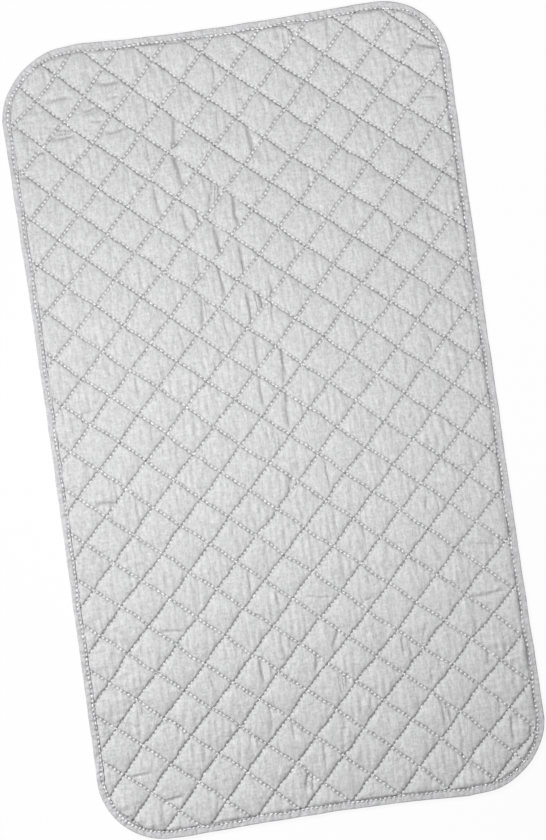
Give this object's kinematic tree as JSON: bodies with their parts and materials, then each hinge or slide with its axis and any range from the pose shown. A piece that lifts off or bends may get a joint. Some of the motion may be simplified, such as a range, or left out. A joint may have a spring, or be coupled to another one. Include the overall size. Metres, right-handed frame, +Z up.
{
  "type": "ironing pad",
  "caption": "Flat quilted ironing pad with rounded corners: padded cloth sewn in diamonds and bound with a folded tape, laid on a table to iron on.",
  "frame": {"origin": "middle of the pad's outline, on the table that it lies on", "axes": "+X across the pad, +Y along it towards the end at the top of the picture, +Z up out of the face"},
  "size_m": [0.48, 0.85, 0.006],
  "materials": {
    "face_cloth": "silver-grey coated cotton, plain weave",
    "batting": "white polyester wadding",
    "backing_cloth": "pale grey plain-weave cotton",
    "binding_tape": "silver-grey woven tape",
    "sewing_thread": "light grey spun polyester thread"
  },
  "bodies": {
    "root": {"face_cloth": "face_cloth", "batting": "batting", "backing_cloth": "backing_cloth", "edge_binding": "binding_tape", "binding_needle_thread": "sewing_thread", "binding_bobbin_thread": "sewing_thread", "quilting_thread_a_01": "sewing_thread", "quilting_thread_a_02": "sewing_thread", "quilting_thread_a_03": "sewing_thread", "quilting_thread_a_04": "sewing_thread", "quilting_thread_a_05": "sewing_thread", "quilting_thread_a_06": "sewing_thread", "quilting_thread_a_07": "sewing_thread", "quilting_thread_a_08": "sewing_thread", "quilting_thread_a_09": "sewing_thread", "quilting_thread_a_10": "sewing_thread", "quilting_thread_a_11": "sewing_thread", "quilting_thread_a_12": "sewing_thread", "quilting_thread_a_13": "sewing_thread", "quilting_thread_a_14": "sewing_thread", "quilting_thread_a_15": "sewing_thread", "quilting_thread_a_16": "sewing_thread", "quilting_thread_a_17": "sewing_thread", "quilting_thread_a_18": "sewing_thread", "quilting_thread_a_19": "sewing_thread", "quilting_thread_a_20": "sewing_thread", "quilting_thread_a_21": "sewing_thread", "quilting_thread_a_22": "sewing_thread", "quilting_thread_a_23": "sewing_thread", "quilting_thread_a_24": "sewing_thread", "quilting_thread_b_01": "sewing_thread", "quilting_thread_b_02": "sewing_thread", "quilting_thread_b_03": "sewing_thread", "quilting_thread_b_04": "sewing_thread", "quilting_thread_b_05": "sewing_thread", "quilting_thread_b_06": "sewing_thread", "quilting_thread_b_07": "sewing_thread", "quilting_thread_b_08": "sewing_thread", "quilting_thread_b_09": "sewing_thread", "quilting_thread_b_10": "sewing_thread", "quilting_thread_b_11": "sewing_thread", "quilting_thread_b_12": "sewing_thread", "quilting_thread_b_13": "sewing_thread", "quilting_thread_b_14": "sewing_thread", "quilting_thread_b_15": "sewing_thread", "quilting_thread_b_16": "sewing_thread", "quilting_thread_b_17": "sewing_thread", "quilting_thread_b_18": "sewing_thread", "quilting_thread_b_19": "sewing_thread", "quilting_thread_b_20": "sewing_thread", "quilting_thread_b_21": "sewing_thread", "quilting_thread_b_22": "sewing_thread", "quilting_thread_b_23": "sewing_thread", "quilting_thread_b_24": "sewing_thread"}
  },
  "joints": []
}
